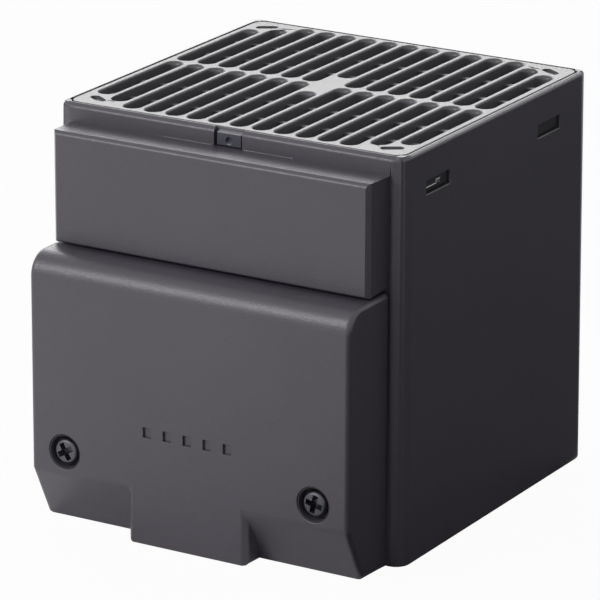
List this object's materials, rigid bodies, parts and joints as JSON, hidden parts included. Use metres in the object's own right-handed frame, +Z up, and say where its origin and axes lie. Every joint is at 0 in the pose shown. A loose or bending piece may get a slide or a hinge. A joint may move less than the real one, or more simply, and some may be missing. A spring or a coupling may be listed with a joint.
{
  "type": "fan heater for an enclosure",
  "caption": "Square dark grey duct heater with a slotted outlet grille on top, a raised front panel, a screwed terminal cover, an inner fan and heating stack, and a rail clip at the back.",
  "frame": {"origin": "middle of the underside, halfway between the cover's front and the clip hooks' backs", "axes": "+Z up through the outlet grille, -Y out of the front panel, +X to the right seen from the front"},
  "size_m": [0.1, 0.1234, 0.103],
  "materials": {
    "casing_plastic": "fine moulded texture, dark grey",
    "grille_plastic": "satin, light grey on its top faces",
    "screw_steel": "blackened, dull sheen",
    "grommet_rubber": "matt",
    "fan_plastic": "satin black",
    "core_steel": "laminated",
    "coil_copper": "lacquered wire",
    "bearing_steel": "ground",
    "magnet": "sintered",
    "frame_plastic": "high-temperature plastic",
    "heater_aluminium": "rolled",
    "terminal_brass": "plain",
    "cutout_plastic": "phenolic",
    "spring_steel": "bright",
    "block_plastic": "grey",
    "lead_red": "insulation",
    "lead_blue": "insulation",
    "clip_plastic": "glass-filled black",
    "latch_plastic": "glass-filled black"
  },
  "bodies": {
    "housing": {"casing": "casing_plastic", "outlet_grille": "grille_plastic", "terminal_cover": "casing_plastic", "cover_screws": "screw_steel", "cable_grommet": "grommet_rubber", "intake_grille": "casing_plastic", "fan_frame": "fan_plastic", "fan_stator": "core_steel", "stator_coils": "coil_copper", "fan_bearings": "bearing_steel", "fan_screws": "screw_steel", "heater_frame": "frame_plastic", "ptc_bars": "heater_aluminium", "fin_packs": "heater_aluminium", "heater_terminals": "terminal_brass", "heater_screws": "screw_steel", "thermal_cutout": "cutout_plastic", "cutout_clip": "spring_steel", "terminal_block": "block_plastic", "terminal_cages": "terminal_brass", "terminal_screws": "screw_steel", "block_screws": "screw_steel", "heater_leads": "lead_red", "fan_leads": "lead_blue", "rail_clip": "clip_plastic", "latch_spring": "spring_steel", "clip_screws": "screw_steel"},
    "rotor": {"fan_rotor": "fan_plastic", "rotor_shaft": "bearing_steel", "rotor_magnet": "magnet"},
    "latch": {"rail_latch": "latch_plastic"}
  },
  "joints": [
    {"name": "fan_spin", "type": "hinge", "parent": "housing", "child": "rotor", "pos_m": [0, 0.00385, 0.0165], "axis": [0, 0, 1], "continuous": true},
    {"name": "latch_slide", "type": "slide", "parent": "housing", "child": "latch", "axis": [0, 0, -1], "range_m": [0, 0.003], "stiffness_N_per_m": 1500, "springref_m": -0.003, "deforming": ["latch_spring"]}
  ]
}
